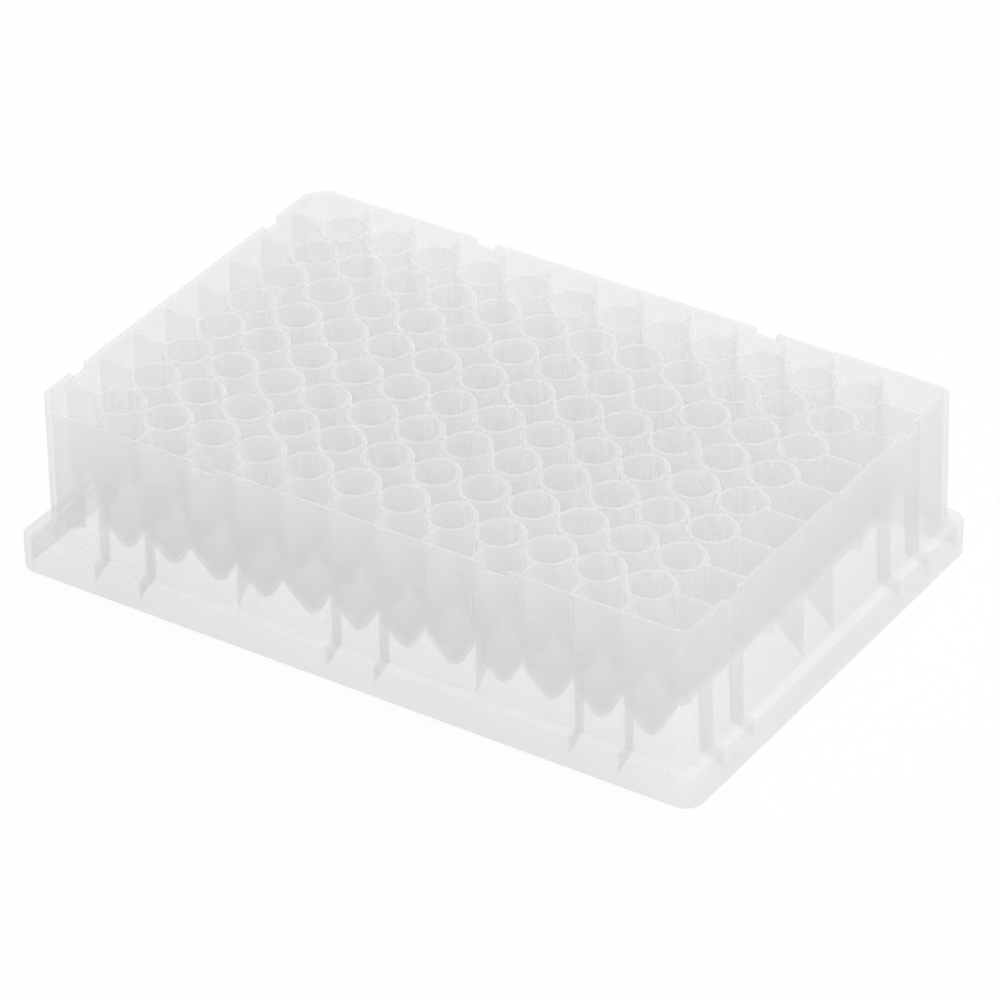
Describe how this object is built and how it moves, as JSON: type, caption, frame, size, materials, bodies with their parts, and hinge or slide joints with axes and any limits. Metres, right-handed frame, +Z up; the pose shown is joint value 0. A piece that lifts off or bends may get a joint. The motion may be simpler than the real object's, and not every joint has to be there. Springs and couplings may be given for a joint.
{
  "type": "deep well plate",
  "caption": "Low translucent deep well plate: a grid of round-bottomed wells joined by thin webs inside a notched wall with a stepped flange, for storing and mixing small liquid samples.",
  "frame": {"origin": "centre of the footprint, on the surface the plate stands on", "axes": "+X along the rows of wells, away from the two cut corners; +Y along the columns, towards row A; +Z up, out of the wells"},
  "size_m": [0.1278, 0.0854, 0.0304],
  "materials": {
    "natural_plastic": "translucent satin polypropylene"
  },
  "bodies": {
    "root": {"deep_well_plate": "natural_plastic"}
  },
  "joints": []
}
